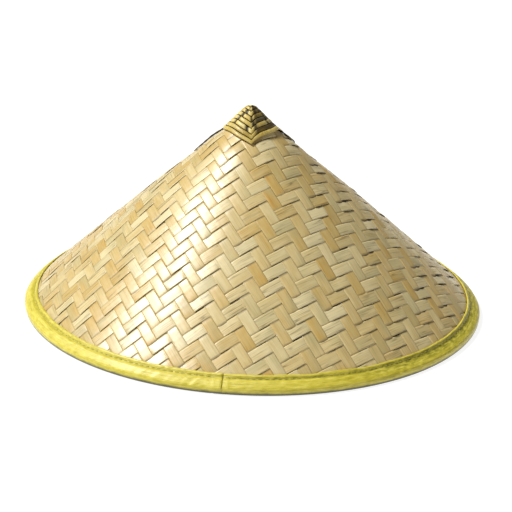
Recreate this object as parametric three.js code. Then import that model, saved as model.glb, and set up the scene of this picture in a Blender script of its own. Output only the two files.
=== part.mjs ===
// A conical hat of plaited bamboo: a rolled twill mat with a small cap on its tip and a tape
// bound round its rim, held open inside by ribs, hoops and a head band.
// Millimetres, +Z up, front towards -Y. The origin is the middle of the rim, on the surface
// that the rim rests on.

import * as THREE from "three";

// Driving dimensions
const halfAngle = THREE.MathUtils.degToRad(48.6); // of the cone, from its axis
const apexHeight = 178.2; // where the mat's outer face would come to a point
const apexLean = 6.6; // how far the tip leans towards -X
const matThickness = 1.2;
const gap = 0.3; // between pieces that touch
const ringSteps = 60; // facets round a ring

// The wall dips in a little below the cap
const neckDip = 1.5;
const neckSlant = 65;
const neckSpread = 28;
const neckStations = [30, 48, 65, 82, 110]; // slants where the wall's line bends

// Slant distances are measured down the wall from the point of the cone
const matStart = 7;
const matEnd = 264.2;
const capMiddleSlant = 30; // at the middle of each of the cap's three edges
const capCorners = 3;
const capTurn = THREE.MathUtils.degToRad(1); // azimuth of the front corner
const capTipRadius = 9;
const capThickness = 1.3;
const capCentreHeight = 168.3; // centre of the round tip

const lacingWidth = 3;
const lacingThickness = 1;
const lacingAzimuths = { left: THREE.MathUtils.degToRad(-112), right: THREE.MathUtils.degToRad(106) };
const lacingStart = 41;
const lacingEnds = { left: 77, right: 52 };

const rimHoopSlants = [257, 262.2];
const rimHoopOffsets = { outer: [gap, 1.7], inner: [-3.2, -(matThickness + gap)] };

const ribCount = 8;
const ribWidth = 5;
const ribThickness = 2;
const ribStart = 30;
const ribEnd = 250;
const ribUnderside = -(matThickness + gap + ribThickness);

const frameHoopWidth = 6;
const frameHoopThickness = 2;
const frameHoops = { upper: 60, middle: 150, lower: 205 }; // slant of each

const headRadius = 88; // inner face of the head band
const bandThickness = 1.5;
const bandBottom = 57;
const bandTop = 92.6;
const bandHoopHeight = 5;
const bandHoopThickness = 2;
const upperBandHoopTop = 91.6;

const tieRadius = 2;
const tieLength = 5;
const tieRing = new THREE.Vector2(94.6, 86.9); // radius and height of the ties

const loopWidth = 8;
const loopThickness = 1.6;
const loopRadius = 7;
const loopTabHeight = 16;
const loopDrop = 9; // of the loop's centre below the band
const tabThickness = 1.2;

const bamboo = new THREE.MeshStandardMaterial({ color: 0xdcc78e, roughness: 0.45, metalness: 0 });
const goldSplints = new THREE.MeshStandardMaterial({ color: 0xb99a48, roughness: 0.5, metalness: 0 });
const darkCane = new THREE.MeshStandardMaterial({ color: 0x2b1f10, roughness: 0.6, metalness: 0 });
const splitCane = new THREE.MeshStandardMaterial({ color: 0xc9ad72, roughness: 0.6, metalness: 0 });
const yellowTape = new THREE.MeshStandardMaterial({ color: 0xd8cc4b, roughness: 0.35, metalness: 0 });
const yellowThread = new THREE.MeshStandardMaterial({ color: 0xa89a2c, roughness: 0.8, metalness: 0 });
const twine = new THREE.MeshStandardMaterial({ color: 0xd9cfae, roughness: 0.9, metalness: 0 });

const sine = Math.sin(halfAngle);
const cosine = Math.cos(halfAngle);
const uprightFromLathe = Math.PI / 2; // a lathe turns round +Y, the hat stands along +Z

// The point (radius, height) at a slant distance, off the mat's outer face by an offset.
function wallPoint(slant, offset) {
  const dip = neckDip * Math.exp(-(((slant - neckSlant) / neckSpread) ** 2));
  const out = offset - dip;
  return new THREE.Vector2(slant * sine + out * cosine, apexHeight - slant * cosine + out * sine);
}

function named(name, geometry, material) {
  const mesh = new THREE.Mesh(geometry, material);
  mesh.name = name;
  return mesh;
}

// A closed outline of (radius, height), in counter-clockwise order, turned into a ring.
function ring(name, outline, material) {
  const geometry = new THREE.LatheGeometry([...outline, outline[0]], ringSteps);
  geometry.rotateX(uprightFromLathe);
  return named(name, geometry, material);
}

// A ring whose rectangular section lies between two slants and two heights above the wall.
function wallRing(name, slants, offsets, material) {
  const [high, low] = slants;
  const [inner, outer] = offsets;
  const section = [
    wallPoint(high, inner),
    wallPoint(low, inner),
    wallPoint(low, outer),
    wallPoint(high, outer),
  ];
  return ring(name, section, material);
}

function uprightRing(name, radii, heights, material) {
  const [inner, outer] = radii;
  const [bottom, top] = heights;
  const section = [
    new THREE.Vector2(inner, bottom),
    new THREE.Vector2(outer, bottom),
    new THREE.Vector2(outer, top),
    new THREE.Vector2(inner, top),
  ];
  return ring(name, section, material);
}

// An outline drawn in the plane of radius and height, made as wide as asked and turned round
// the hat to its azimuth, which is 0 at the front and grows towards +X.
function radialPlate(name, shape, width, azimuth, material) {
  const curveSegments = 20;
  const geometry = new THREE.ExtrudeGeometry(shape, { depth: width, bevelEnabled: false, curveSegments });
  geometry.translate(0, 0, -width / 2);
  geometry.rotateX(uprightFromLathe);
  const mesh = named(name, geometry, material);
  mesh.rotation.z = azimuth - Math.PI / 2;
  return mesh;
}

// A strip that runs straight down the wall between two offsets.
function wallStrip(name, slants, offsets, width, azimuth, material) {
  const [start, end] = slants;
  const bends = neckStations.filter((slant) => slant > start && slant < end);
  const along = (offset) => [start, ...bends, end].map((slant) => wallPoint(slant, offset));
  const [inner, outer] = offsets;
  const shape = new THREE.Shape([...along(inner), ...along(outer).reverse()]);
  return radialPlate(name, shape, width, azimuth, material);
}

// Rings of points, joined one to the next from the top outside to the top inside. The first and
// last rings are single points, so that the skin is closed.
function closedSkin(rings) {
  const positions = [];
  const face = (...corners) => corners.forEach((p) => positions.push(p.x, p.y, p.z));
  for (let k = 0; k + 1 < rings.length; k++) {
    const above = rings[k];
    const below = rings[k + 1];
    const count = Math.max(above.length, below.length);
    for (let i = 0; i < count; i++) {
      const next = (i + 1) % count;
      if (below.length > 1) face(above[i % above.length], below[i], below[next]);
      if (above.length > 1) face(above[i], below[next % below.length], above[next]);
    }
  }
  const geometry = new THREE.BufferGeometry();
  geometry.setAttribute("position", new THREE.Float32BufferAttribute(positions, 3));
  return geometry;
}

function outerMat() {
  const slants = [matStart, ...neckStations, matEnd];
  const inside = slants.map((slant) => wallPoint(slant, -matThickness));
  const outside = slants.map((slant) => wallPoint(slant, 0)).reverse();
  return ring("outer_mat", [...inside, ...outside], bamboo);
}

// A three-cornered shell over the point of the mat, with a round tip. Each edge is straight on
// the unrolled cone.
function tipCap() {
  const steps = 48;
  const fractions = [0.12, 0.3, 0.6, 1];
  const share = (2 * Math.PI) / capCorners;
  const pointAt = (fraction, azimuth, radius) => {
    const fromMiddle = ((azimuth % share) - share / 2) * sine;
    const slant = capMiddleSlant / Math.cos(fromMiddle);
    const offset = (capCentreHeight + radius / sine - apexHeight) * sine;
    const edge = wallPoint(slant, offset);
    const distance = fraction * edge.x;
    const dipped = wallPoint(fraction * slant, 0).y - (apexHeight - fraction * slant * cosine);
    const onCone = capCentreHeight + radius / sine - distance / Math.tan(halfAngle);
    const round = distance < radius * cosine;
    const onTip = capCentreHeight + Math.sqrt(Math.max(0, radius ** 2 - distance ** 2));
    const height = (round ? onTip : onCone) + dipped;
    const turned = azimuth + capTurn;
    return new THREE.Vector3(distance * Math.sin(turned), -distance * Math.cos(turned), height);
  };
  const ringAt = (fraction, radius) =>
    Array.from({ length: steps }, (_, i) => pointAt(fraction, (i * 2 * Math.PI) / steps, radius));
  const outside = fractions.map((fraction) => ringAt(fraction, capTipRadius));
  const innerRadius = capTipRadius - capThickness;
  const inside = fractions.map((fraction) => ringAt(fraction, innerRadius)).reverse();
  const rings = [
    [pointAt(0, 0, capTipRadius)],
    ...outside,
    ...inside,
    [pointAt(0, 0, innerRadius)],
  ];
  return named("tip_cap", closedSkin(rings), goldSplints);
}

function tipLacing(side) {
  const slants = [lacingStart, lacingEnds[side]];
  const offsets = [gap, gap + lacingThickness];
  return wallStrip(`tip_lacing_${side}`, slants, offsets, lacingWidth, lacingAzimuths[side], darkCane);
}

// The folded tape: a hem, a stitched groove, a round face over the outer hoop, a flat underside
// that the hat rests on, and the same again inside, round a channel for the mat and its hoops.
function rimBinding() {
  const channel = [
    [251, 0.3], [256.2, 0.3], [256.6, 2], [263, 2], [264.9, 0.8],
    [265.2, -1.2], [262.8, -3.5], [256.4, -3.5], [255.8, -1.5], [251, -1.5],
  ];
  const innerFace = [[251, -2.2], [254.4, -2.2], [255.6, -4], [262.5, -4.2]];
  const underside = [new THREE.Vector2(195.2, 0), new THREE.Vector2(199.3, 0)];
  const outerFace = [[265, 2], [262.8, 2.7], [257.2, 2.7], [255.6, 1.7], [254.3, 0.9], [253.2, 1.3], [251, 1.2]];
  const onWall = (points) => points.map(([slant, offset]) => wallPoint(slant, offset));
  const outline = [...onWall(channel), ...onWall(innerFace), ...underside, ...onWall(outerFace)];
  return ring("rim_binding", outline, yellowTape);
}

// The thread that sews the tape, lying in its groove.
function bindingThread() {
  const outline = [[254.75, 1.75], [254.3, 2.2], [253.85, 1.75], [254.3, 1.25]];
  return ring("binding_thread", outline.map(([slant, offset]) => wallPoint(slant, offset)), yellowThread);
}

// A zigzag thread that closes the mat's lap seam, down the back.
function seamThread() {
  const stitches = 25;
  const start = 46;
  const pitch = 8;
  const sway = 3;
  const threadRadius = 0.6;
  const clearance = 1.3;
  const points = Array.from({ length: stitches + 1 }, (_, i) => {
    const { x, y } = wallPoint(start + i * pitch, clearance);
    return new THREE.Vector3(i % 2 ? sway : -sway, x, y);
  });
  const section = new THREE.Shape();
  section.absarc(0, 0, threadRadius, 0, 2 * Math.PI);
  const geometry = new THREE.ExtrudeGeometry(section, {
    extrudePath: new THREE.CatmullRomCurve3(points),
    steps: 2 * stitches,
    curveSegments: 3,
  });
  return named("mat_seam_thread", geometry, twine);
}

function chinLoop(side, azimuth) {
  const centre = new THREE.Vector2(headRadius - 2 * gap - tabThickness / 2, bandBottom - loopDrop);
  const tabHalf = tabThickness / 2;
  const spread = Math.asin(tabHalf / loopRadius);
  const upwards = Math.PI / 2;
  const shape = new THREE.Shape();
  shape.moveTo(centre.x + tabHalf, bandBottom + loopTabHeight);
  shape.lineTo(centre.x - tabHalf, bandBottom + loopTabHeight);
  shape.absarc(centre.x, centre.y, loopRadius, upwards + spread, upwards - spread + 2 * Math.PI);
  shape.closePath();
  const hole = new THREE.Path();
  hole.absarc(centre.x, centre.y, loopRadius - loopThickness, 0, 2 * Math.PI, true);
  shape.holes.push(hole);
  return radialPlate(`chin_loop_${side}`, shape, loopWidth, azimuth, yellowTape);
}

const hat = new THREE.Group();
hat.name = "conical_hat";
// The whole hat leans: each level slides towards -X in proportion to its height.
const lean = -apexLean / apexHeight;
hat.matrixAutoUpdate = false;
hat.matrix.set(1, 0, lean, 0, 0, 1, 0, 0, 0, 0, 1, 0, 0, 0, 0, 1);

hat.add(outerMat(), tipCap(), seamThread());
hat.add(tipLacing("left"), tipLacing("right"));

hat.add(rimBinding(), bindingThread());
hat.add(wallRing("rim_hoop_outer", rimHoopSlants, rimHoopOffsets.outer, splitCane));
hat.add(wallRing("rim_hoop_inner", rimHoopSlants, rimHoopOffsets.inner, splitCane));

for (let i = 0; i < ribCount; i++) {
  const azimuth = ((i + 0.5) * 2 * Math.PI) / ribCount;
  const offsets = [ribUnderside, ribUnderside + ribThickness];
  hat.add(wallStrip(`rib_${i + 1}`, [ribStart, ribEnd], offsets, ribWidth, azimuth, splitCane));

  const tie = named(`head_band_tie_${i + 1}`, new THREE.CapsuleGeometry(tieRadius, tieLength, 3, 8), twine);
  tie.position.set(tieRing.x * Math.sin(azimuth), -tieRing.x * Math.cos(azimuth), tieRing.y);
  tie.rotation.z = azimuth + Math.PI / 2;
  hat.add(tie);
}

for (const [level, slant] of Object.entries(frameHoops)) {
  const slants = [slant - frameHoopWidth / 2, slant + frameHoopWidth / 2];
  const top = ribUnderside - gap;
  hat.add(wallRing(`frame_hoop_${level}`, slants, [top - frameHoopThickness, top], splitCane));
}

const bandOutside = headRadius + bandThickness;
const hoopRadii = [bandOutside + gap, bandOutside + gap + bandHoopThickness];
hat.add(uprightRing("head_band", [headRadius, bandOutside], [bandBottom, bandTop], splitCane));
const upperHoop = [upperBandHoopTop - bandHoopHeight, upperBandHoopTop];
hat.add(uprightRing("head_band_hoop_upper", hoopRadii, upperHoop, splitCane));
hat.add(uprightRing("head_band_hoop_lower", hoopRadii, [bandBottom, bandBottom + bandHoopHeight], splitCane));
hat.add(chinLoop("left", -Math.PI / 2), chinLoop("right", Math.PI / 2));

export default hat;
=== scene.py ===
"""A conical hat of plaited bamboo, with its look made in Blender over the shared frame.

Metres, +Z up, front towards -Y. "Slant" is the distance down the wall from the point of the
cone, "azimuth" is 0 at the front and grows towards +X, and "out" is the height over the mat's
outer face. The mat is plaited flat, on the unrolled cone, and then rolled up.
"""

import math

import bmesh
import bpy
import numpy as np
from mathutils import Matrix, Vector


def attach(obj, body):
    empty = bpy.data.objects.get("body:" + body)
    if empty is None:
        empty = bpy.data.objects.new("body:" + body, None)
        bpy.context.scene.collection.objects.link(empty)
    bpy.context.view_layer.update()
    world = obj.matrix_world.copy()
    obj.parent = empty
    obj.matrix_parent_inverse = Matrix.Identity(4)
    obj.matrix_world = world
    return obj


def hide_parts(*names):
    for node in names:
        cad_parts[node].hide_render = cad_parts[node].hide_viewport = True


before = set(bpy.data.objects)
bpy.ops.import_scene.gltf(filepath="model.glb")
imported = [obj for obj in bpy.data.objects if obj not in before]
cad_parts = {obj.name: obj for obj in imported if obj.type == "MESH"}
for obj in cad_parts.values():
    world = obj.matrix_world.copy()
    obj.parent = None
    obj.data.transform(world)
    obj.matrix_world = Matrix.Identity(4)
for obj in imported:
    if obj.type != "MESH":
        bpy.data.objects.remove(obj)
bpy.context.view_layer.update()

MM = 0.001
HALF_ANGLE = math.radians(48.6)
SINE, COSINE = math.sin(HALF_ANGLE), math.cos(HALF_ANGLE)
APEX = 178.2 * MM
LEAN = 6.6 * MM
# the wall dips twice: how deep, at what slant and how far it spreads
NECK_DIP, NECK_SLANT, NECK_SPREAD = 1.5 * MM, 65 * MM, 28 * MM
TIP_DIP, TIP_SLANT, TIP_SPREAD = 2.4 * MM, 32 * MM, 12 * MM
MAT_THICKNESS = 1.2 * MM
MAT_TOP = 9.5 * MM  # slant, under the cap
MAT_EDGE = 262 * MM  # slant, inside the tape
SEAM = math.radians(135)  # half of the unrolled mat's sector
LAP = math.radians(2.4)  # how far one side goes on over the other
LAP_LIFT = 1.15 * MM


# ---------------------------------------------------------------- camera and light


def add_camera():
    """From the front and a little above, with a long lens and a slight roll."""
    elevation, roll, distance = 0.3537, -0.03185, 1.3
    aim = Vector((0.0017, 0, 0.0405))
    back = Vector((0, -math.cos(elevation), math.sin(elevation)))
    level = Vector((1, 0, 0))
    rise = Vector((0, math.sin(elevation), math.cos(elevation)))
    right = level * math.cos(roll) - rise * math.sin(roll)
    up = level * math.sin(roll) + rise * math.cos(roll)
    data = bpy.data.cameras.new("photo_view")
    data.sensor_width, data.lens = 36, 103.9
    data.clip_start, data.clip_end = 0.05, 50
    camera = bpy.data.objects.new("photo_view", data)
    turn = Matrix((right, up, back)).transposed().to_4x4()
    camera.matrix_world = Matrix.Translation(aim + back * distance) @ turn
    bpy.context.scene.collection.objects.link(camera)
    bpy.context.scene.camera = camera


def add_sun():
    """A broad sun, high on the left."""
    data = bpy.data.lights.new("key_light", "SUN")
    data.energy, data.angle, data.color = 3.95, math.radians(14), (1, 0.985, 0.95)
    lamp = bpy.data.objects.new("key_light", data)
    towards = Vector((-0.562, 0.05, 0.823))
    lamp.rotation_euler = towards.to_track_quat("Z", "Y").to_euler()
    bpy.context.scene.collection.objects.link(lamp)


def add_world():
    """A weak warm fill. The camera itself sees plain white."""
    world = bpy.data.worlds.new("studio")
    bpy.context.scene.world = world
    world.use_nodes = True
    nodes, links = world.node_tree.nodes, world.node_tree.links
    nodes.clear()
    output = nodes.new("ShaderNodeOutputWorld")
    mix = nodes.new("ShaderNodeMixShader")
    path = nodes.new("ShaderNodeLightPath")
    fill = nodes.new("ShaderNodeBackground")
    fill.inputs["Color"].default_value = (1, 0.97, 0.91, 1)
    fill.inputs["Strength"].default_value = 0.15
    white = nodes.new("ShaderNodeBackground")
    white.inputs["Color"].default_value = (1, 1, 1, 1)
    white.inputs["Strength"].default_value = 1.0
    links.new(path.outputs["Is Camera Ray"], mix.inputs[0])
    links.new(fill.outputs[0], mix.inputs[1])
    links.new(white.outputs[0], mix.inputs[2])
    links.new(mix.outputs[0], output.inputs[0])
    bpy.context.scene.view_settings.view_transform = "Standard"


# ---------------------------------------------------------------- the wall of the cone


def bell(x, middle, spread):
    """A smooth hump, 1 at its middle."""
    return np.exp(-(((x - middle) / spread) ** 2))


def smooth(x, low, high):
    """0 up to low and 1 from high on."""
    t = np.clip((x - low) / (high - low), 0, 1)
    return t * t * (3 - 2 * t)


def between(x, start, full, still, end):
    """1 from full to still, and 0 outside start and end."""
    return smooth(x, start, full) * (1 - smooth(x, still, end))


def dip(slant):
    neck = NECK_DIP * bell(slant, NECK_SLANT, NECK_SPREAD)
    return neck + TIP_DIP * bell(slant, TIP_SLANT, TIP_SPREAD)


def turned(radius, azimuth, height):
    """Points round the hat's axis, leaning with it."""
    radius, azimuth, height = np.broadcast_arrays(radius, azimuth, height)
    x = radius * np.sin(azimuth) - LEAN * height / APEX
    return np.stack([x, -radius * np.cos(azimuth), height], -1)


def wall(slant, azimuth, out):
    """Points on the wall, or over it by out."""
    out = out - dip(slant)
    return turned(slant * SINE + out * COSINE, azimuth, APEX - slant * COSINE + out * SINE)


def rolled(flat):
    """Points (across, down, out) on the unrolled cone, rolled up."""
    across, down, out = flat[..., 0], flat[..., 1], flat[..., 2]
    return wall(np.hypot(across, down), np.arctan2(across, down) / SINE, out)


def rounded(half_width, half_height, count, power):
    """A section as (side, up) pairs: an ellipse at power 2, and squarer at higher ones."""
    angle = (np.arange(count) + 0.5) * 2 * math.pi / count
    c, s = np.cos(angle), np.sin(angle)
    x = np.sign(c) * np.abs(c) ** (2 / power) * half_width
    y = np.sign(s) * np.abs(s) ** (2 / power) * half_height
    return np.stack([x, y], -1)


class Skin:
    """Grids of faces gathered into one mesh, each point with some named numbers."""

    def __init__(self, *names):
        self.points, self.faces, self.count = [], [], 0
        self.values = {name: [] for name in names}

    def grid(self, points, around=False, tube=False, caps=False, **values):
        """Around joins the last row to the first, tube the columns, and caps close the ends."""
        rows, columns = points.shape[:2]
        index = self.count + np.arange(rows * columns).reshape(rows, columns)
        r = np.arange(rows if around else rows - 1)[:, None]
        c = np.arange(columns if tube else columns - 1)[None, :]
        r1, c1 = (r + 1) % rows, (c + 1) % columns
        quads = np.stack(
            np.broadcast_arrays(index[r, c], index[r, c1], index[r1, c1], index[r1, c]), -1
        )
        self.faces.extend(quads.reshape(-1, 4).tolist())
        if caps:
            self.faces.append(index[0][::-1].tolist())
            self.faces.append(index[-1].tolist())
        self.points.append(points.reshape(-1, 3))
        for name, kept in self.values.items():
            kept.append(np.broadcast_to(values[name], (rows, columns)).ravel())
        self.count += rows * columns

    def mesh(self, name):
        mesh = bpy.data.meshes.new(name)
        mesh.from_pydata(np.concatenate(self.points).tolist(), [], self.faces)
        for key, kept in self.values.items():
            layer = mesh.attributes.new(key, "FLOAT", "POINT")
            layer.data.foreach_set("value", np.concatenate(kept).astype(np.float32))
        return mesh


def sweep(skin, path, section, up=(0, 0, 1), side=None, closed=False, place=None, **values):
    """A section carried along a path, its points then moved by place.

    The section is (count, 2), or one for each station.
    """
    if closed:
        ahead = np.roll(path, -1, axis=0) - np.roll(path, 1, axis=0)
    else:
        ahead = np.gradient(path, axis=0)
    ahead = ahead / np.linalg.norm(ahead, axis=1, keepdims=True)
    if side is None:
        side = np.cross(ahead, np.broadcast_to(up, path.shape))
    side = np.broadcast_to(side, path.shape)
    side = side / np.linalg.norm(side, axis=1, keepdims=True)
    above = np.cross(side, ahead)
    x, y = section[..., 0, None], section[..., 1, None]
    points = path[:, None] + x * side[:, None] + y * above[:, None]
    if place:
        points = place(points)
    steps = np.linalg.norm(np.diff(path, axis=0), axis=1)
    values.setdefault("along", np.concatenate([[0], np.cumsum(steps)])[:, None])
    values.setdefault("across", section[..., 0] if section.ndim == 3 else section[None, :, 0])
    values.setdefault("under", 0)
    skin.grid(points, around=closed, tube=True, caps=not closed, **values)


def add_piece(name, mesh, materials, nodes, fix_normals=True):
    """Puts a mesh in the scene as a piece that stands for these CAD nodes."""
    if fix_normals:
        work = bmesh.new()
        work.from_mesh(mesh)
        bmesh.ops.recalc_face_normals(work, faces=work.faces)
        work.to_mesh(mesh)
        work.free()
    mesh.polygons.foreach_set("use_smooth", np.ones(len(mesh.polygons), bool))
    for material in materials:
        mesh.materials.append(material)
    piece = bpy.data.objects.new(name, mesh)
    bpy.context.scene.collection.objects.link(piece)
    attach(piece, "root")
    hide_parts(*nodes)
    return piece


# ---------------------------------------------------------------- materials


def linear(red, green, blue):
    """An 8-bit screen colour as Blender's linear one."""
    def channel(v):
        v /= 255
        return v / 12.92 if v <= 0.04045 else ((v + 0.055) / 1.055) ** 2.4

    return (channel(red), channel(green), channel(blue), 1)


class Nodes:
    """A short way to write a node material."""

    def __init__(self, name):
        self.material = bpy.data.materials.new(name)
        self.material.use_nodes = True
        self.tree = self.material.node_tree
        self.tree.nodes.clear()
        self.output = self.add("ShaderNodeOutputMaterial")
        self.shader = self.add("ShaderNodeBsdfPrincipled")
        self.link(self.shader.outputs[0], self.output.inputs["Surface"])

    def add(self, kind, **settings):
        node = self.tree.nodes.new(kind)
        for key, value in settings.items():
            setattr(node, key, value)
        return node

    def link(self, a, b):
        self.tree.links.new(a, b)

    def put(self, socket, value):
        if isinstance(value, bpy.types.NodeSocket):
            self.link(value, socket)
        else:
            socket.default_value = value

    def attribute(self, name):
        return self.add("ShaderNodeAttribute", attribute_name=name).outputs["Fac"]

    def math(self, operation, *values):
        node = self.add("ShaderNodeMath", operation=operation)
        for socket, value in zip(node.inputs, values):
            self.put(socket, value)
        return node.outputs[0]

    def vector(self, *values):
        node = self.add("ShaderNodeCombineXYZ")
        for socket, value in zip(node.inputs, values):
            self.put(socket, value)
        return node.outputs[0]

    def noise(self, vector, scale=1.0, detail=3.0, roughness=0.5):
        node = self.add("ShaderNodeTexNoise")
        self.put(node.inputs["Vector"], vector)
        node.inputs["Scale"].default_value = scale
        node.inputs["Detail"].default_value = detail
        node.inputs["Roughness"].default_value = roughness
        return node.outputs["Fac"]

    def ramp(self, value, *stops):
        node = self.add("ShaderNodeValToRGB")
        elements = node.color_ramp.elements
        while len(elements) < len(stops):
            elements.new(0.5)
        for element, (position, color) in zip(elements, stops):
            element.position = position
            element.color = color
        self.put(node.inputs[0], value)
        return node.outputs[0]

    def mix(self, factor, a, b, blend="MIX"):
        node = self.add("ShaderNodeMix", data_type="RGBA", blend_type=blend)
        self.put(node.inputs[0], factor)
        self.put(node.inputs[6], a)
        self.put(node.inputs[7], b)
        return node.outputs[2]

    def bump(self, height, distance, strength):
        node = self.add("ShaderNodeBump")
        node.inputs["Strength"].default_value = strength
        node.inputs["Distance"].default_value = distance
        self.put(node.inputs["Height"], height)
        return node.outputs[0]

    def finish(self, color, roughness, normal=None, **constants):
        self.put(self.shader.inputs["Base Color"], color)
        self.put(self.shader.inputs["Roughness"], roughness)
        if normal:
            self.link(normal, self.shader.inputs["Normal"])
        for name, value in constants.items():
            self.shader.inputs[name.replace("_", " ")].default_value = value
        return self.material


def grey(value):
    return (value, value, value, 1)


def bamboo(name, stops, hidden, gloss=0.3, splits=0.4, shine=1.1, shade=(78, 62, 32)):
    """Split bamboo: fine fibres along it, its colour from its tone, in shade where it is hidden.

    A noise is stretched by its waves to the metre along and across the strip, and the tone moves
    it, so that no two strips are alike.
    """
    n = Nodes(name)
    tone, dark = n.attribute("tone"), n.attribute(hidden)
    own_place = (n.attribute("along"), n.attribute("across"), tone)

    def noise(*waves, **settings):
        stretched = (n.math("MULTIPLY", value, scale) for value, scale in zip(own_place, waves))
        return n.noise(n.vector(*stretched), **settings)

    fibre = noise(40, 2600, 40, detail=4, roughness=0.6)
    patch = noise(60, 240, 70, detail=2)
    shifted = n.math("ADD", tone, n.math("MULTIPLY", n.math("SUBTRACT", patch, 0.5), 0.7))
    color = n.ramp(shifted, *stops)
    green = n.ramp(noise(25, 60, 20, detail=1), (0.5, grey(0)), (0.68, grey(0.5)))
    color = n.mix(green, color, linear(186, 176, 128))
    streak = n.ramp(fibre, (0.3, grey(0.78)), (0.52, grey(1)))
    color = n.mix(0.75, color, streak, "MULTIPLY")
    wide_streak = n.ramp(noise(22, 1000, 55, detail=2), (0.28, grey(0.62)), (0.42, grey(1)))
    color = n.mix(0.6, color, wide_streak, "MULTIPLY")
    from_split = n.math("ABSOLUTE", n.math("SUBTRACT", noise(14, 330, 90, detail=1), 0.5))
    split = n.ramp(from_split, (0.0, grey(0.5)), (0.012, grey(0.72)), (0.03, grey(1)))
    where_split = n.math("MULTIPLY", n.ramp(patch, (0.35, grey(0.2)), (0.6, grey(1))), splits)
    color = n.mix(where_split, color, split, "MULTIPLY")
    # painted shade where the strip is hidden
    color = n.mix(dark, color, linear(*shade))
    height = n.math("ADD", fibre, n.math("MULTIPLY", patch, 0.6))
    rough = n.math("ADD", gloss, n.math("MULTIPLY", fibre, 0.2))
    rough = n.math("ADD", rough, n.math("MULTIPLY", dark, 0.4))
    return n.finish(
        color,
        rough,
        n.bump(height, 0.00012, 0.8),
        Specular_IOR_Level=0.5 * shine,
        Coat_Weight=0.2 * shine,
        Coat_Roughness=0.25,
    )


# each a ramp of colours over the strip's tone
STRAW = (
    (0.0, linear(232, 216, 168)),
    (0.3, linear(222, 202, 146)),
    (0.55, linear(214, 188, 126)),
    (0.75, linear(209, 179, 108)),
    (0.9, linear(206, 169, 92)),
    (1.0, linear(203, 155, 76)),
)
INSIDE_STRAW = (
    (0.0, linear(226, 212, 170)),
    (0.5, linear(210, 186, 134)),
    (1.0, linear(184, 150, 98)),
)
CANE = (
    (0.0, linear(216, 188, 132)),
    (0.5, linear(200, 164, 104)),
    (1.0, linear(176, 136, 80)),
)
GOLD = (
    (0.0, linear(244, 228, 160)),
    (0.4, linear(224, 198, 108)),
    (0.8, linear(172, 146, 58)),
    (1.0, linear(88, 68, 26)),
)
DARK = (
    (0.0, linear(62, 46, 24)),
    (1.0, linear(30, 22, 12)),
)


def plain_fibre(name, color):
    """The cut edges of the strips."""
    n = Nodes(name)
    place = n.add("ShaderNodeTexCoord").outputs["Object"]
    speck = n.noise(place, scale=1800, detail=2)
    return n.finish(n.ramp(speck, (0.3, linear(150, 124, 76)), (0.7, color)), 0.7)


def tape_cloth():
    """Shiny woven tape: fine cross threads, long ribs, crinkles and painted shade."""
    n = Nodes("binding_tape")
    along, across, worn = n.attribute("along"), n.attribute("across"), n.attribute("worn")
    thread_pitch, rib_pitch = 0.7 * MM, 1.1 * MM
    thread = n.math("SINE", n.math("MULTIPLY", along, 2 * math.pi / thread_pitch))
    rib = n.math("SINE", n.math("MULTIPLY", across, 2 * math.pi / rib_pitch))
    place = n.vector(n.math("MULTIPLY", along, 130), n.math("MULTIPLY", across, 420), 0.0)
    crinkle = n.noise(place, detail=4, roughness=0.62)
    long_place = n.vector(n.math("MULTIPLY", along, 30), n.math("MULTIPLY", across, 900), 3.0)
    streak = n.noise(long_place, detail=3)
    color = n.ramp(
        n.math("ADD", n.math("MULTIPLY", crinkle, 0.6), n.math("MULTIPLY", streak, 0.4)),
        (0.35, linear(192, 179, 40)),
        (0.5, linear(221, 206, 64)),
        (0.66, linear(239, 226, 104)),
    )
    # painted shade: olive, mottled by the crinkles, in the groove and the hollow
    mottled = n.math("MULTIPLY", worn, n.ramp(crinkle, (0.36, grey(1.2)), (0.62, grey(0.35))))
    shade_mix = n.math("MAXIMUM", mottled, n.math("MULTIPLY", n.math("SUBTRACT", worn, 0.8), 5))
    color = n.mix(shade_mix, color, linear(122, 120, 22))
    # painted shade at the foot, near black
    foot = n.ramp(worn, (0.88, grey(0)), (0.98, grey(1)))
    color = n.mix(foot, color, linear(64, 60, 12))
    weave = n.math("ADD", n.math("MULTIPLY", thread, 0.12), n.math("MULTIPLY", rib, 0.15))
    height = n.math("ADD", weave, n.math("MULTIPLY", crinkle, 1.6))
    height = n.math("ADD", height, n.math("MULTIPLY", streak, 0.8))
    rough = n.math("ADD", 0.3, n.math("MULTIPLY", crinkle, 0.25))
    return n.finish(
        color,
        rough,
        n.bump(height, 0.0004, 0.7),
        Specular_IOR_Level=0.6,
        Coat_Weight=0.25,
        Coat_Roughness=0.3,
    )


def spun(name, light, dark, twist):
    """Fuzzy thread or twine, ringed by its twist."""
    n = Nodes(name)
    along, across = n.attribute("along"), n.attribute("across")
    ply = n.math("SINE", n.math("MULTIPLY", along, 2 * math.pi / twist))
    place = n.vector(n.math("MULTIPLY", along, 900), n.math("MULTIPLY", across, 9), 0.0)
    fuzz = n.noise(place, detail=3)
    level = n.math("ADD", n.math("MULTIPLY", ply, 0.25), fuzz)
    color = n.ramp(level, (0.25, dark), (0.7, light))
    return n.finish(color, 0.75, n.bump(level, 0.0002, 0.8))


# ---------------------------------------------------------------- the plaited mat


class Family:
    """Strips that run one way on the unrolled cone.

    The pitch is measured along the other family, and phase and width are shares of it. Tone and
    tilt are those of a plain float, and stray is how uneven the strips are. They go over in two of
    every four cells. Between the two depths in hides they are painted in shade, where they pass
    under the other family, or never if those are past 1.
    """

    def __init__(self, angle, pitch, phase, width, tone, tilt, stray, hides, over):
        self.direction = np.array([math.cos(angle), math.sin(angle)])
        self.pitch, self.phase, self.width = pitch, phase, width
        self.tone, self.tilt, self.stray = tone, tilt, stray
        self.hides, self.over = hides, over


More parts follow.
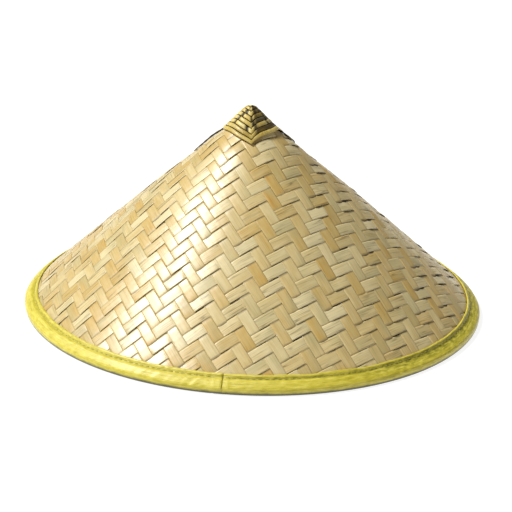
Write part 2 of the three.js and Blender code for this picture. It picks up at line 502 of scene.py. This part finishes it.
RISING = Family(
    angle=math.radians(-34.3), pitch=10.45 * MM, phase=0.745, width=0.955,
    tone=0.33, tilt=0.3 * MM, stray=1, hides=(1.1, 1.6), over=(0, 1),
)
FALLING = Family(
    angle=math.radians(59.8), pitch=9.23 * MM, phase=1.826, width=0.99,
    tone=0.55, tilt=0.16 * MM, stray=0.25, hides=(-0.35, 0.35), over=(2, 3),
)
REACH = 32  # strips each side of the point
AMPLITUDE = 0.24 * MM
STRIP_THICKNESS = 0.3 * MM
# stations in a cell, and the share of its own level, not its neighbour's, at each
FRACTIONS = np.array([0, 0.13, 0.36, 0.64, 0.87])
OWN_SHARE = np.array([0.5, 0.8, 1, 1, 0.8])
PALEST, DARKEST = 0, 0.78  # tones of the mat's floats


def levels(state):
    """The level at each station of a strip whose cells are over, 1, or under, -1."""
    before, after = np.roll(state, 1), np.roll(state, -1)
    neighbour = np.where(FRACTIONS < 0.5, before[:, None], after[:, None])
    level = state[:, None] * OWN_SHARE + neighbour * (1 - OWN_SHARE)
    # it bulges between the two strips that it goes over
    level[:, 0] += 0.25 * ((state == before) & (state > 0))
    return level.ravel()


def looseness(flat):
    """1 where the floats stand loose: on the right flank, but not near the rim."""
    azimuth = np.arctan2(flat[:, 0], flat[:, 1]) / SINE
    near_rim = smooth(np.hypot(flat[:, 0], flat[:, 1]), 238 * MM, 250 * MM)
    return between(azimuth, 0.5, 1.3, 2, 2.6) * (1 - near_rim)


def plait(strips, others, seed):
    """All the strips of a family, flat, with out as their third coordinate."""
    rng = np.random.default_rng(seed)
    skin = Skin("along", "across", "tone", "under", "over")
    cells = np.arange(-REACH, REACH)
    station = (cells[:, None] + FRACTIONS - others.phase).ravel() * others.pitch
    bends = np.linspace(station[0], station[-1], 40)
    sides = np.array([-1, -0.8, 0, 0.8, 1])
    crown = -0.1 * MM * np.abs(sides) ** 2.5
    facing = 1 if np.cross(strips.direction, others.direction) > 0 else -1
    for k in range(-REACH, REACH):
        state = np.where(np.isin((k + cells) % 4, strips.over), 1.0, -1.0)
        level = levels(state)
        # the float that each station belongs to, and each float's tone, width, place and lift
        owner = np.repeat(np.cumsum(state != np.roll(state, 1)), len(FRACTIONS))
        floats = owner.max() + 1
        blush = rng.normal(0, 0.17, floats)[owner]
        swell = rng.normal(0, 0.035 * strips.stray, floats)[owner]
        shift = rng.normal(0, 0.2 * MM * strips.stray, floats)[owner]
        lifted = rng.exponential(1, floats)[owner] - 0.7

        own_tone = strips.tone + rng.normal(0, 0.1)
        wobble = np.interp(station, bends, rng.normal(0, 0.11 * MM * strips.stray, len(bends)))
        width = strips.width * (1 + rng.uniform(-0.03, 0.02) * strips.stray) * strips.pitch / 2
        middle = (k + 0.5 - strips.phase) * strips.pitch + wobble + shift
        place = middle[:, None] + sides * (width * (1 + swell))[:, None]
        line = station[:, None] * strips.direction + middle[:, None] * others.direction
        flat = station[:, None, None] * strips.direction + place[..., None] * others.direction

        loose = looseness(line)
        tilt = strips.tilt * (1 + 0.7 * loose) * np.minimum(lifted + 0.35 * loose, 1.25)
        out = -MAT_THICKNESS / 2 + AMPLITUDE * level[:, None] + crown
        out = out + (tilt * np.clip(level, 0, 1))[:, None] * sides
        slant = np.hypot(flat[..., 0], flat[..., 1])
        keep = ((slant < MAT_EDGE) & (slant > MAT_TOP - 0.5 * MM)).any(axis=1)
        if not keep.any():
            continue
        pull = np.minimum(1, MAT_EDGE / np.maximum(slant, 1e-6))
        points = np.concatenate([flat * pull[..., None], out[..., None]], -1)
        first, last = np.flatnonzero(keep)[[0, -1]]
        part = slice(max(first - 1, 0), last + 2)
        skin.grid(
            points[part, ::facing],
            along=(station + rng.uniform(0, 9))[part, None],
            across=(sides[::facing] * width)[None],
            tone=np.clip(own_tone + blush, PALEST, DARKEST)[part, None],
            # painted shade on the outer face where the strip passes under the other family
            under=smooth(-level, *strips.hides)[part, None],
            # painted shade on the inner face where the strip lies over, hidden from inside
            over=smooth(level, 0.1, 0.9)[part, None],
        )
    return skin


def roll_up(skin, name):
    """Cuts the flat mat's sector out, with its lap, and rolls it up."""
    mesh = skin.mesh(name)
    work = bmesh.new()
    work.from_mesh(mesh)
    for angle in (-SEAM - LAP, SEAM):
        geometry = work.verts[:] + work.edges[:] + work.faces[:]
        normal = (math.cos(angle), -math.sin(angle), 0)
        bmesh.ops.bisect_plane(work, geom=geometry, dist=1e-7, plane_co=(0, 0, 0), plane_no=normal)
    doomed = []
    for face in work.faces:
        middle = face.calc_center_median()
        angle = math.atan2(middle.x, middle.y)
        near = math.hypot(middle.x, middle.y)
        if angle > SEAM or angle < -SEAM - LAP or near < MAT_TOP or near > MAT_EDGE - 1e-6:
            doomed.append(face)
    bmesh.ops.delete(work, geom=doomed, context="FACES")
    work.to_mesh(mesh)
    work.free()
    flat = np.zeros(len(mesh.vertices) * 3)
    mesh.vertices.foreach_get("co", flat)
    flat = flat.reshape(-1, 3)
    angle = np.arctan2(flat[:, 0], flat[:, 1])
    slant = np.hypot(flat[:, 0], flat[:, 1])
    # next to its free edge it lies on the other side, but not right up at the cap
    lift = smooth(angle, SEAM - 2.2 * LAP, SEAM - LAP)
    flat[:, 2] += LAP_LIFT * lift * smooth(slant, 26 * MM, 40 * MM)
    mesh.vertices.foreach_set("co", rolled(flat).ravel())
    mesh.update()
    return mesh


def solidify(piece, thickness, offset, rim, inner=0):
    """Gives a sheet its thickness. Rim and inner pick the materials of its edges and its back."""
    solid = piece.modifiers.new("thickness", "SOLIDIFY")
    solid.thickness, solid.offset = thickness, offset
    solid.material_offset, solid.material_offset_rim = inner, rim
    solid.use_even_offset = False


def add_mat():
    """The two families of strips, one piece each, a duller inner face, and painted shade where
    hidden.
    """
    inside = bamboo("bamboo_inside", INSIDE_STRAW, "over", gloss=0.5)
    edge = plain_fibre("bamboo_edge", linear(206, 180, 122))
    for way, strips, others, splits, rim, seed in (
        ("rising", RISING, FALLING, 1.0, 2, 3),
        ("falling", FALLING, RISING, 0.25, 0, 8),
    ):
        name = f"mat_{way}_strips"
        outside = bamboo("bamboo_" + way, STRAW, "under", splits=splits)
        mesh = roll_up(plait(strips, others, seed), name)
        materials = (outside, inside, edge)
        piece = add_piece(name, mesh, materials, ["outer_mat"], fix_normals=False)
        solidify(piece, STRIP_THICKNESS, 0, rim, 1)


# ---------------------------------------------------------------- the tip


CAP_TURN = math.radians(1)
CAP_CORNER = math.radians(45)  # on the unrolled cone, from a sector's middle
CAP_RADIUS = 9 * MM  # of its round point
CAP_CENTRE = 167.7 * MM
CAP_LENGTH = 28.9 * MM  # from the point down to its first course
CAP_RIGHT, CAP_BACK, CAP_LEFT = 0, 1, 2  # its sectors


def near_corner(angle, sector, before, after, start):
    """1 at the corner between two of the cap's sectors, and 0 away from it."""
    ahead = np.where(sector == before, smooth(angle, start, CAP_CORNER), 0)
    return np.where(sector == after, smooth(-angle, start, CAP_CORNER), ahead)


def cap_surface(distance, angle, sector, out):
    """Points of the cap's outer face, or over it by out.

    The distance from the apex is that at the sector's middle, and it grows towards the corners. The
    rear left corner is 15 % shorter, and the front one 6.5 %.
    """
    corner = np.abs(angle / CAP_CORNER) ** np.where(sector == CAP_RIGHT, 3.5, 2.2)
    rear_left = near_corner(angle, sector, CAP_BACK, CAP_LEFT, 0.25)
    front = near_corner(angle, sector, CAP_LEFT, CAP_RIGHT, 0.3)
    slant = distance * (1 + 0.42 * corner) * (1 - 0.15 * rear_left) * (1 - 0.065 * front)
    azimuth = CAP_TURN + math.pi / 3 + sector * 2 * math.pi / 3 + angle / SINE
    radius = slant * SINE
    lean_out = np.minimum(radius / CAP_RADIUS, COSINE)
    upright = np.sqrt(1 - lean_out**2)
    on_tip = CAP_CENTRE + CAP_RADIUS * upright
    on_cone = CAP_CENTRE + CAP_RADIUS / SINE - radius / math.tan(HALF_ANGLE)
    height = np.where(radius < CAP_RADIUS * COSINE, on_tip, on_cone) - dip(slant) * SINE
    return turned(radius + out * lean_out, azimuth, height + out * upright)


def cap_round(steps=26):
    """The sector and the angle in it of each station round the cap."""
    angle = np.linspace(-CAP_CORNER, CAP_CORNER, steps, endpoint=False)
    return np.repeat(np.arange(3), steps), np.tile(angle, 3)


def add_tip_backing():
    """Under the courses, dark as painted shade in their gaps, and straw-coloured on its inner face.
    """
    sector, angle = cap_round()
    skin = Skin("along", "across", "tone", "under")
    distances = np.linspace(0.5 * MM, CAP_LENGTH + 0.6 * MM, 16)
    points = cap_surface(distances[None], angle[:, None], sector[:, None], -1.15 * MM)
    skin.grid(points, around=True, along=0, across=0, tone=1, under=0)
    # painted shade: the darkest tone, seen through the gaps between the courses
    dark = bamboo("tip_backing", DARK, "under", gloss=0.6, shine=0.1)
    inside = bamboo("tip_inside", INSIDE_STRAW, "under", gloss=0.5)
    materials = (dark, inside)
    piece = add_piece("tip_backing", skin.mesh("tip_backing"), materials, ["tip_cap"])
    solidify(piece, 0.3 * MM, -1, 0, 1)


def add_tip_courses():
    """Eight courses of splints, from the cap's edge to its point.

    From the third on, they sink where hidden stakes cross them, a little further on in each one, and
    what sinks is painted in shade. The right face, away from the light, is painted in shade and
    sunk, most in every second course, and in the others towards the point.
    """
    rng = np.random.default_rng(21)
    sector, angle = cap_round()
    pitch, stake = 3.95 * MM, 7.5 * MM
    shift, drift = 2.3 * MM, 1.3 * MM  # of the stakes, at the first course and from each to the next
    # painted shade on the right face, away from the light: how much in each course
    darkness = (0, 1, 0.3, 1, 0.7, 1, 1.1, 1)
    on_right = np.where(sector == CAP_RIGHT, smooth(angle, -0.74, -0.5), 0)
    skin = Skin("along", "across", "tone", "under")
    section = rounded(1.65 * MM, 0.55 * MM, 12, 2.4)
    for i, dark in enumerate(darkness):
        distance = CAP_LENGTH - i * pitch
        along = distance * 1.15 * angle
        tone = rng.uniform(0.05, 0.55) + 0.2 * np.sin(angle * 3 + rng.uniform(0, 6, 3)[sector])
        shaded = on_right * dark
        wave = np.cos(2 * math.pi * (along + shift - drift * i) / (2 * stake))
        gaps = smooth(wave, 0.6, 0.95) * (i > 1)
        sink = np.maximum(gaps, shaded * rng.uniform(0.5, 0.95))
        sink = sink * (1 if i > 1 else 0.3) * min(1, distance / (8 * MM))
        # next to the point there is less room for a splint's width
        room = min(1, (distance - 0.1 * MM) / (2 * MM))
        points = cap_surface(
            distance + section[None, :, 0] * room,
            angle[:, None],
            sector[:, None],
            -0.5 * MM + section[None, :, 1] - 0.9 * MM * sink[:, None],
        )
        # tone carries the right face's painted shade, and under paints shade where a splint sinks
        skin.grid(
            points,
            around=True,
            tube=True,
            along=along[:, None] + i * 0.1,
            across=section[None, :, 0],
            tone=np.clip(tone + 0.8 * shaded, 0, 1)[:, None],
            under=(0.95 * sink)[:, None],
        )
    # shade is the colour of the painted shade in the sunk places
    gold = bamboo("tip_splint", GOLD, "under", gloss=0.35, shine=0.7, shade=(36, 26, 6))
    add_piece("tip_courses", skin.mesh("tip_courses"), (gold,), ["tip_cap"])


def add_lacings():
    """Two lacings, each of two dark strands, from under the cap's rear corners down the flanks."""
    dark = bamboo("dark_cane", DARK, "under", gloss=0.6, shine=0.15)
    corner, twist_length = 117, 14  # degrees from the front, and mm
    # start and end are slants in mm, and a lacing drifts some degrees towards the front
    for side, sign, start, end, drift, half_width in (
        ("left", -1, 33, 72.5, 6, 1.15),
        ("right", 1, 33, 52, 14, 1.6),
    ):
        skin = Skin("along", "across", "tone", "under")
        t = np.linspace(0, 1, 70)
        slant = (start + (end - start) * t) * MM
        angle = sign * np.radians(corner - drift * smooth(t, 0, 0.5)) * SINE
        down = np.stack([np.sin(angle), np.cos(angle)], -1)
        beside = np.stack([np.cos(angle), -np.sin(angle)], -1)
        taper = 1 - 0.45 * t**2
        section = rounded(half_width * MM, 0.7 * MM, 8, 2) * taper[:, None, None]
        for turn in (0, math.pi):
            twist = turn + t * 2 * math.pi * (end - start) / twist_length
            aside = 0.5 * MM * taper * np.cos(twist)
            flat = slant[:, None] * down + aside[:, None] * beside
            out = (0.82 + 0.2 * np.sin(twist)) * taper * MM - 0.4 * MM * smooth(t, 0.9, 1)
            path = np.concatenate([flat, out[:, None]], -1)
            sweep(skin, path, section, place=rolled, tone=0.3 + 0.1 * turn)
        name = "lacing_" + side
        add_piece(name, skin.mesh(name), (dark,), ["tip_lacing_" + side])


# ---------------------------------------------------------------- the rim


TAPE_START, TAPE_END = math.radians(-8), math.radians(354)
RIM_RADIUS = 197.5 * MM


def off_wall(radius, height):
    """A point (radius, height) as its slant and out."""
    fall = APEX - height
    return radius * SINE + fall * COSINE, radius * COSINE - fall * SINE


def ripple(azimuth, rng, low, high, count=14):
    """Smooth noise round the rim, with this range of waves to the turn."""
    waves = rng.integers(low, high + 1, count)[:, None]
    phase = rng.uniform(0, 2 * math.pi, count)[:, None]
    return np.sin(waves * azimuth + phase).sum(axis=0) / math.sqrt(count)


def tape_profile():
    """(slant, out) round the tape's section, where the bulge is round and where it is hollow.

    Both share the hem, the foot and the inner fold. The two numbers are where the bulge starts and
    ends in them.
    """
    hem = [(250.7, 0.3), (250.75, 0.8), (251.1, 1.2), (251.8, 1.36), (252.6, 1.3), (253.5, 1.05)]
    round_body = [
        (254.3, 0.72), (255.1, 1.05), (255.8, 1.75), (256.6, 2.3), (257.6, 2.62), (258.6, 2.6),
        (259.6, 2.72), (260.6, 2.62), (261.6, 2.74), (262.6, 2.68), (263.5, 2.6), (264.3, 2.3),
    ]
    hollow_body = [
        (254.3, 0.62), (255.2, 0.66), (256.1, 0.85), (257, 1.15), (257.8, 1.5), (258.4, 1.8),
        (259.2, 2.1), (260.2, 2.4), (261.2, 2.66), (262.3, 2.84), (263.4, 2.76), (264.4, 2.3),
    ]
    foot = [  # (radius, height)
        (200.02, 3.4), (199.9, 2.2), (199.6, 1.0), (198.9, 0.25), (197.8, 0.02), (196.2, 0.02),
        (195.1, 0.3), (194.5, 1.1),
    ]
    inside = [
        (261, -4.2), (259.5, -4.1), (258, -4.2), (256.6, -4.1), (255.5, -3.6), (254.8, -2.9),
        (254.2, -2.45), (253.3, -2.6), (252, -2.7), (251.1, -2.4), (250.8, -1.6),
    ]
    on_foot = [off_wall(radius * MM, height * MM) for radius, height in foot]

    def whole(body):
        return np.concatenate([np.array(hem + body) * MM, on_foot, np.array(inside) * MM])

    return whole(round_body), whole(hollow_body), len(hem), len(hem) + len(round_body)


ROUND_TAPE, HOLLOW_TAPE, BULGE_START, BULGE_END = tape_profile()
PLACES = np.arange(len(ROUND_TAPE))


def tape_section(azimuth, hollow):
    """The slant and out of each place on the tape, with its puckers, creases and lap."""
    rng = np.random.default_rng(5)
    degrees = np.degrees(azimuth)
    profile = ROUND_TAPE * (1 - hollow[..., None]) + HOLLOW_TAPE * hollow[..., None]
    slant, out = profile[..., 0], profile[..., 1]
    at_hem = bell(PLACES, 2, 2.2)
    at_groove = bell(PLACES, BULGE_START, 1.8)
    at_bulge = between(PLACES, BULGE_START, BULGE_START + 3, BULGE_END, BULGE_END + 4)
    at_foot = between(PLACES, BULGE_END - 3, BULGE_END, BULGE_END + 6, BULGE_END + 9)
    at_inner_hem = bell(PLACES, len(PLACES) - 3, 3)
    away = np.where(PLACES < BULGE_END + 4, 1, -1)  # from the mat, on either side of it

    wave = ripple(azimuth, rng, 8, 40)[:, None]
    pucker = ripple(azimuth, rng, 150, 260)[:, None]
    fine = ripple(azimuth, rng, 260, 420)[:, None]
    creased = (0.35 + smooth(ripple(azimuth, rng, 3, 14), 0.1, 1.2))[:, None]
    # one ripple, a little further on at each place, so that its creases run slantwise
    slanting = np.stack(
        [ripple(azimuth + 0.004 * k, np.random.default_rng(77), 70, 190) for k in PLACES], -1
    )
    slant += MM * ((0.35 * wave + 0.12 * pucker) * at_hem + 0.4 * wave * at_inner_hem)
    out += MM * creased * (0.1 * pucker + 0.07 * fine) * at_groove
    out += MM * creased * (0.12 * slanting * at_bulge + 0.13 * pucker * at_hem)
    out += MM * 0.1 * pucker * at_inner_hem

    # at the sides, towards the back, it is pulled tight over the hoop
    aside = np.abs((degrees + 180) % 360 - 180)
    tight = between(aside, 84, 102, 132, 155)[:, None]
    over_hoop = (1 - smooth(PLACES, BULGE_END - 1, BULGE_END + 4)) * (PLACES > BULGE_START)
    out *= 1 - 0.36 * tight * over_hoop
    slant -= 1.9 * MM * tight * at_foot
    out -= 1.5 * MM * tight * at_foot
    # where it is hollow, its hem is narrow
    slant[:, :3] += 0.6 * MM * hollow

    # the end that lies on top is folded under and stands a little proud
    on_top = 0.42 * smooth(degrees, 351.2, 352) + 0.3 * bell(degrees, 353.3, 0.45)
    tucked = 0.35 * smooth(degrees, 353.6, 354)
    out += MM * (on_top - tucked)[:, None] * away
    out -= MM * 0.12 * (1 - smooth(degrees, -6, -5.2))[:, None] * away
    # beside the lap, the tape that goes under has a narrow pleat
    out += MM * 0.28 * bell(degrees, -4.9, 0.35)[:, None] * at_bulge
    return slant, out


def tape_painted_shade(degrees, hollow):
    """Painted shade: in the tape's groove, less on the lit left, in its hollow and at its foot."""
    left = (1 - smooth(degrees, -12, 12) + smooth(degrees, 130, 200))[:, None]
    worn = (0.8 - 0.4 * left) * bell(PLACES, BULGE_START, 1.8)
    worn = worn + 0.8 * hollow * bell(PLACES, BULGE_START + 3.8, 4.2)
    foot = between(PLACES, BULGE_END - 0.2, BULGE_END + 1.4, BULGE_END + 4, BULGE_END + 7)
    # the painted shade at the foot is past 0.86, and so has a colour of its own
    return np.clip(np.minimum(worn, 0.86) + 1.1 * foot, 0, 1)


def add_tape():
    """The tape as one sheet, and its width when it is flat."""
    azimuth = np.linspace(TAPE_START, TAPE_END, 1080)
    degrees = np.degrees(azimuth)
    # its bulge is hollow on the right
    hollow = between(degrees, 12, 45, 115, 150)[:, None]
    slant, out = tape_section(azimuth, hollow)
    points = wall(slant, azimuth[:, None], out)
    points[..., 2] = np.maximum(points[..., 2], 0.02 * MM)
    run = np.hypot(*np.diff(ROUND_TAPE, axis=0).T)
    across = np.concatenate([[0], np.cumsum(run)])
    skin = Skin("along", "across", "worn")
    along = (azimuth * RIM_RADIUS)[:, None]
    # the painted shade of the groove, the hollow and the foot
    skin.grid(points, along=along, across=across[None], worn=tape_painted_shade(degrees, hollow))
    mesh, cloth = skin.mesh("rim_tape"), tape_cloth()
    piece = add_piece("rim_tape", mesh, (cloth,), ["rim_binding"], fix_normals=False)
    solidify(piece, 0.3 * MM, -1, 0)
    return piece, across[-1]


def add_stitches():
    """Running stitches in the tape's groove, outside and inside."""
    rng = np.random.default_rng(12)
    skin = Skin("along", "across", "under")
    pitch = math.radians(1.5)
    half_stitch = 0.34 * pitch
    section = rounded(0.27 * MM, 0.24 * MM, 6, 2)
    t = np.linspace(-1, 1, 7)
    # slant and out in mm, and on which side of the mat
    lines = ((254.3, 1.0, 1), (254.2, -2.75, -1))
    for azimuth in np.arange(TAPE_START + pitch, TAPE_END - pitch, pitch):
        for slant, out, side in lines:
            place = azimuth + t * half_stitch + rng.normal(0, 0.001)
            drop = -0.5 * t**4 * side
            path = wall((slant + rng.normal(0, 0.08)) * MM, place, (out + drop) * MM)
            up = path[3] - wall(slant * MM, azimuth, (out - 5 * side) * MM)
            sweep(skin, path, section, up=up)
    cotton = spun("binding_thread", linear(214, 204, 96), linear(140, 130, 40), 0.0006)
    mesh = skin.mesh("rim_stitches")
    return add_piece("rim_stitches", mesh, (cotton,), ["binding_thread"])


def add_hoop(node, place, section, cane, tone):
    """A closed ring of split cane, for one node. Place gives the middle of its section."""
    skin = Skin("along", "across", "tone", "under")
    azimuth = np.linspace(0, 2 * math.pi, 200, endpoint=False)
    radius, height, slope = place
    side = np.array([math.sin(slope), -math.cos(slope)])
    out = np.array([math.cos(slope), math.sin(slope)])
    x, y = section[:, 0], section[:, 1]
    r = radius + x * side[0] + y * out[0]
    z = height + x * side[1] + y * out[1]
    # measured both ways from the back, so that the grain meets itself at the front
    along = np.abs(azimuth - math.pi)[:, None] * radius
    points = turned(r[None], azimuth[:, None], z[None])
    skin.grid(points, around=True, tube=True, along=along, across=x[None], tone=tone, under=0)
    name = "cane_" + node
    add_piece(name, skin.mesh(name), (cane,), [node])


def on_wall(slant, out):
    """The radius and height of a place on the wall, and the wall's slope from level."""
    sunk = out - dip(slant)
    radius, height = slant * SINE + sunk * COSINE, APEX - slant * COSINE + sunk * SINE
    return radius, height, HALF_ANGLE


# ---------------------------------------------------------------- inside


RIBS = 8


def add_hoops(cane):
    """The two hoops inside the tape and the three under the ribs."""
    for side, slant, out, half_width, half_height, tone in (
        ("outer", 260.3, 0.72, 1.9, 0.55, 0.4),
        ("inner", 259.6, -2.35, 2.6, 0.85, 0.5),
    ):
        section = rounded(half_width * MM, half_height * MM, 14, 4)
        add_hoop("rim_hoop_" + side, on_wall(slant * MM, out * MM), section, cane, tone)
    section = rounded(3 * MM, 1 * MM, 16, 5)
    for level, slant, tone in (("upper", 60, 0.3), ("middle", 150, 0.55), ("lower", 205, 0.4)):
        add_hoop("frame_hoop_" + level, on_wall(slant * MM, -4.8 * MM), section, cane, tone)


def add_ribs(cane):
    """Eight ribs of bamboo, each thicker at its two joints."""
    rng = np.random.default_rng(31)
    section = rounded(2.5 * MM, 1 * MM, 14, 5)
    slant = np.linspace(30, 250, 110) * MM
    for i in range(RIBS):
        skin = Skin("along", "across", "tone", "under")
        azimuth = (i + 0.5) * 2 * math.pi / RIBS
        joints = rng.uniform(50, 230, 2) * MM
        swell = 1 + sum(0.07 * bell(slant, joint, 1.6 * MM) for joint in joints)
        path = wall(slant, azimuth, -2.5 * MM)
        out = wall(0.1, azimuth, 1) - wall(0.1, azimuth, 0)
        sweep(skin, path, section * swell[:, None, None], up=out, tone=rng.uniform(0.2, 0.8))
        name = f"bamboo_rib_{i + 1}"
        add_piece(name, skin.mesh(name), (cane,), [f"rib_{i + 1}"])


BAND_RADIUS = 88.75 * MM
BAND_FLOOR = 57 * MM


def add_head_band(cane):
    """A plaited band: level courses over and under upright stakes, with a hoop at each edge."""
    rng = np.random.default_rng(44)
    courses, stakes = 4, 60
    course_pitch = 8.9 * MM
    stake_pitch = 2 * math.pi / stakes
    swing = 0.28 * MM

    def band(flat):
        across, up, out = flat[..., 0], flat[..., 1], flat[..., 2]
        return turned(BAND_RADIUS + out, across / BAND_RADIUS, BAND_FLOOR + up)

    skin = Skin("along", "across", "tone", "under")
    around = np.linspace(0, 2 * math.pi, stakes * 6, endpoint=False)
    along = around * BAND_RADIUS
    splint = rounded(4.2 * MM, 0.22 * MM, 8, 6)
    for row in range(courses):
        out = swing * np.cos(around / stake_pitch * math.pi + row * math.pi)
        middle = np.stack([along, np.full_like(around, (row + 0.5) * course_pitch), out], -1)
        points = np.repeat(middle[:, None], len(splint), axis=1)
        points[..., 1:] += splint
        skin.grid(
            band(points),
            around=True,
            tube=True,
            along=(along + row)[:, None],
            across=splint[None, :, 0],
            tone=rng.uniform(0.1, 0.9),
            under=0,
        )
    upright = rounded(3.9 * MM, 0.22 * MM, 8, 6)
    height = np.linspace(0.2 * MM, courses * course_pitch - 0.2 * MM, 25)
    for stake in range(stakes):
        out = -swing * np.cos((height / course_pitch - 0.5 + stake) * math.pi)
        path = np.stack([np.full_like(height, stake * stake_pitch * BAND_RADIUS), height, out], -1)
        sweep(skin, path, upright, place=band, tone=rng.uniform(0.1, 0.9))
    mesh = skin.mesh("plaited_head_band")
    add_piece("plaited_head_band", mesh, (cane,), ["head_band"])

    section = rounded(2.5 * MM, 1 * MM, 16, 4)
    for level, height, tone in (("upper", 89.1, 0.35), ("lower", 59.5, 0.5)):
        place = (BAND_RADIUS + 2.05 * MM, height * MM, 0.0)
        add_hoop("head_band_hoop_" + level, place, section, cane, tone)


def add_ties(twine):
    """A coil of twine at each rib, which ties the head band's upper hoop to it."""
    radius, height, coil = 94.6 * MM, 86.9 * MM, 1.42 * MM
    width, turns = 7.4 * MM, 5.5
    section = rounded(0.55 * MM, 0.55 * MM, 8, 2)
    t = np.linspace(0, 1, 90)
    turn = t * 2 * math.pi * turns
    reach = coil * (1 - 0.25 * np.abs(2 * t - 1) ** 3)
    for i in range(RIBS):
        middle = (i + 0.5) * 2 * math.pi / RIBS
        azimuth = middle + (t - 0.5) * width / radius
        path = turned(radius + reach * np.cos(turn), azimuth, height + reach * np.sin(turn))
        skin = Skin("along", "across", "under")
        sweep(skin, path, section, up=turned(1.0, middle + math.pi / 2, 0.0))
        name = f"twine_tie_{i + 1}"
        add_piece(name, skin.mesh(name), (twine,), [f"head_band_tie_{i + 1}"])


def add_chin_loops(tape):
    """A strap folded into a loop, its two ends sewn inside the head band."""
    middle, height, radius = 86.8 * MM, 48 * MM, 6.2 * MM  # of the loop, which hangs below
    half_gap = 0.42 * MM  # between the two ends
    spread = math.radians(4)
    angle = np.linspace(math.pi / 2 - spread, math.pi / 2 + spread - 2 * math.pi, 60)
    bow = np.stack([middle + radius * np.cos(angle), height + radius * np.sin(angle)], -1)
    fall = np.linspace(73 * MM, 56 * MM, 12)
    down = np.stack([np.full_like(fall, middle + half_gap), fall], -1)
    up = np.stack([np.full_like(fall, middle - half_gap), fall[::-1]], -1)
    line = np.concatenate([down, bow, up])
    section = rounded(4 * MM, 0.32 * MM, 12, 7)
    for side, azimuth in (("left", -math.pi / 2), ("right", math.pi / 2)):
        skin = Skin("along", "across", "under", "worn")
        path = turned(line[:, 0], azimuth, line[:, 1])
        tangent = turned(1.0, azimuth + math.pi / 2, 0.0)
        sweep(skin, path, section, side=tangent, worn=0)
        name = "tape_chin_loop_" + side
        add_piece(name, skin.mesh(name), (tape,), ["chin_loop_" + side])


def add_seam_thread(twine):
    """A zigzag of twine over the lap at the back, in and out of the mat."""
    stitches, start, pitch, sway = 25, 46 * MM, 8 * MM, 3 * MM
    points = []
    for i in range(stitches):
        slant = start + (i + np.array([0, 0.12, 0.3, 0.5, 0.7, 0.88])) * pitch
        ways = np.array([-1, -0.85, -0.4, 0, 0.4, 0.85]) * (1 if i % 2 == 0 else -1)
        out = np.where(ways < 0.1, 1.3, 0.45) * MM  # higher on the side of the lap
        out[0] = -0.1 * MM if ways[0] > 0 else 0.8 * MM
        points.append(wall(slant, math.pi + ways * sway / (slant * SINE), out))
    skin = Skin("along", "across", "under")
    up = wall(0.1, math.pi, 1) - wall(0.1, math.pi, 0)
    sweep(skin, np.concatenate(points), rounded(0.5 * MM, 0.5 * MM, 8, 2), up=up)
    add_piece("seam_zigzag", skin.mesh("seam_zigzag"), (twine,), ["mat_seam_thread"])


def add_floor():
    """A pale floor that gives off some light, so that it is as white as the background."""
    mesh = bpy.data.meshes.new("floor")
    mesh.from_pydata([(-8, -8, 0), (8, -8, 0), (8, 8, 0), (-8, 8, 0)], [], [(0, 1, 2, 3)])
    n = Nodes("floor")
    mesh.materials.append(n.finish(grey(0.22), 0.9, Emission_Color=grey(1), Emission_Strength=0.88))
    floor = bpy.data.objects.new("floor", mesh)
    floor.location.z = -0.3 * MM
    bpy.context.scene.collection.objects.link(floor)


add_camera()
add_sun()
add_world()
add_floor()
add_mat()
add_tip_backing()
add_tip_courses()
add_lacings()
rim_tape, tape_width = add_tape()
rim_stitches = add_stitches()
split_cane = bamboo("split_cane", CANE, "under", gloss=0.5)
twine_yarn = spun("twine", linear(214, 198, 156), linear(130, 108, 70), 0.002)
add_hoops(split_cane)
add_ribs(split_cane)
add_head_band(split_cane)
add_ties(twine_yarn)
add_chin_loops(rim_tape.data.materials[0])
add_seam_thread(twine_yarn)
